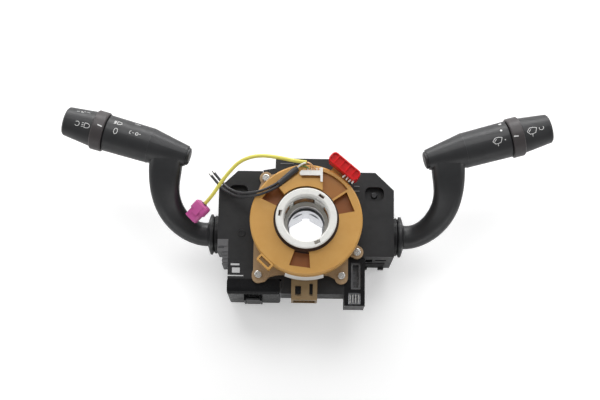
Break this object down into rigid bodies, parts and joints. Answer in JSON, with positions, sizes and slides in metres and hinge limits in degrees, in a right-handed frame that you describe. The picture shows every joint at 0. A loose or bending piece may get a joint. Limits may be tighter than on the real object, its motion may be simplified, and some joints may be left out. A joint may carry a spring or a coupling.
{
  "type": "combination stalk switch",
  "caption": "Steering-column combination switch with two goose-neck stalks, turning rings and end knobs, a clock spring with hub, leads and connectors.",
  "frame": {"origin": "centre of the four column fixing holes and of the round column seat, in the back face", "axes": "+Z along the steering axis towards the driver, +Y up as installed, +X to the driver's right"},
  "size_m": [0.4034, 0.1579, 0.0984],
  "materials": {
    "black_plastic": "matt",
    "stalk_plastic": "satin",
    "grey_plastic": "matt",
    "tan_plastic": "satin",
    "bronze_plastic": "satin",
    "brown_plastic": "satin",
    "white_plastic": "satin",
    "cream_plastic": "satin",
    "red_plastic": "gloss",
    "pink_plastic": "satin",
    "yellow_cover": "satin",
    "black_cover": "satin",
    "label": "matt",
    "zinc": "satin",
    "steel": "bright",
    "copper": "bright",
    "board": "gloss"
  },
  "bodies": {
    "base": {"centre_housing": "black_plastic", "rear_cover": "black_plastic", "column_sleeve": "zinc", "sleeve_screws": "steel", "right_switch_case": "black_plastic", "left_switch_case": "black_plastic", "right_switch_cover": "black_plastic", "left_switch_cover": "black_plastic", "cover_screws": "steel", "lighting_connector": "black_plastic", "lighting_pins": "copper", "retaining_tab": "grey_plastic", "wiper_bracket": "black_plastic", "wiper_connector": "grey_plastic", "wiper_shield": "steel", "edge_connector": "grey_plastic", "clock_spring_base": "bronze_plastic", "base_screws": "steel", "ribbon_tape": "copper", "rating_label": "label", "harness_connector": "brown_plastic", "harness_pins": "copper", "left_contact_board": "board", "right_contact_board": "board", "left_pivot_pin": "steel", "right_pivot_pin": "steel"},
    "rotor": {"hub": "white_plastic", "cancel_cam": "black_plastic", "rotor_cover": "tan_plastic", "lead_socket": "white_plastic", "lead_contacts": "copper", "yellow_lead": "yellow_cover", "black_sleeve": "black_cover", "black_wire_a": "black_cover", "black_wire_b": "black_cover", "wire_tips": "steel", "airbag_plug": "pink_plastic"},
    "lock": {"transport_lock": "red_plastic"},
    "latch": {"connector_latch": "black_plastic"},
    "left_gimbal": {"left_pivot_block": "white_plastic"},
    "left_stalk": {"left_lever_fork": "black_plastic", "left_dust_collar": "stalk_plastic", "left_arm": "stalk_plastic", "left_head_cap": "stalk_plastic", "left_barrel": "stalk_plastic", "left_spindle": "stalk_plastic"},
    "left_plunger": {"left_detent_plunger": "steel"},
    "left_ring": {"left_ring": "stalk_plastic"},
    "left_knob": {"left_knob": "stalk_plastic"},
    "right_gimbal": {"right_pivot_block": "white_plastic"},
    "right_stalk": {"right_lever_fork": "black_plastic", "right_dust_collar": "stalk_plastic", "right_arm": "stalk_plastic", "right_head_cap": "stalk_plastic", "right_barrel": "stalk_plastic", "right_spindle": "stalk_plastic"},
    "right_plunger": {"right_detent_plunger": "steel"},
    "right_ring": {"right_ring": "stalk_plastic"},
    "right_knob": {"right_knob": "stalk_plastic"}
  },
  "joints": [
    {"name": "clock_spring_turn", "type": "hinge", "parent": "base", "child": "rotor", "pos_m": [0, 0, 0.087], "axis": [0, 0, 1], "range_deg": [-900, 900]},
    {"name": "transport_lock_pull", "type": "slide", "parent": "rotor", "child": "lock", "axis": [0, 0, 1], "range_m": [0, 0.014]},
    {"name": "connector_latch_rock", "type": "hinge", "parent": "base", "child": "latch", "pos_m": [-0.04285, -0.06, 0.038], "axis": [1, 0, 0], "range_deg": [0, 5], "stiffness_Nm_per_rad": 0.4, "springref_deg": -2.86},
    {"name": "turn_signal", "type": "hinge", "parent": "base", "child": "left_gimbal", "pos_m": [-0.0555, -0.0044, 0.037], "axis": [0, 0, 1], "range_deg": [-10, 10]},
    {"name": "high_beam_flash", "type": "hinge", "parent": "left_gimbal", "child": "left_stalk", "pos_m": [-0.0555, -0.0044, 0.037], "axis": [0, 1, 0], "range_deg": [-6, 6], "stiffness_Nm_per_rad": 8},
    {"name": "light_ring", "type": "hinge", "parent": "left_stalk", "child": "left_ring", "pos_m": [-0.16514, 0.07098, 0.082], "axis": [-0.9622, 0.2723, 0], "range_deg": [0, 60]},
    {"name": "fog_knob", "type": "hinge", "parent": "left_stalk", "child": "left_knob", "pos_m": [-0.17506, 0.07379, 0.082], "axis": [-0.9622, 0.2723, 0], "range_deg": [-30, 30]},
    {"name": "left_detent", "type": "slide", "parent": "left_stalk", "child": "left_plunger", "axis": [-1, 0, 0], "range_m": [0, 0.0006], "stiffness_N_per_m": 500, "springref_m": -0.004},
    {"name": "wiper_mist", "type": "hinge", "parent": "base", "child": "right_gimbal", "pos_m": [0.0555, -0.0044, 0.037], "axis": [0, 0, 1], "range_deg": [0, 8], "stiffness_Nm_per_rad": 3, "springref_deg": -2.86},
    {"name": "washer_pull", "type": "hinge", "parent": "right_gimbal", "child": "right_stalk", "pos_m": [0.0555, -0.0044, 0.037], "axis": [0, -1, 0], "range_deg": [0, 6], "stiffness_Nm_per_rad": 6, "springref_deg": -1.15},
    {"name": "wiper_ring", "type": "hinge", "parent": "right_stalk", "child": "right_ring", "pos_m": [0.16514, 0.07098, 0.082], "axis": [0.9622, 0.2723, 0], "range_deg": [-75, 0]},
    {"name": "rear_wiper_knob", "type": "hinge", "parent": "right_stalk", "child": "right_knob", "pos_m": [0.17506, 0.07379, 0.082], "axis": [0.9622, 0.2723, 0], "range_deg": [-30, 30]},
    {"name": "right_detent", "type": "slide", "parent": "right_stalk", "child": "right_plunger", "axis": [1, 0, 0], "range_m": [0, 0.0006], "stiffness_N_per_m": 500, "springref_m": -0.004}
  ]
}
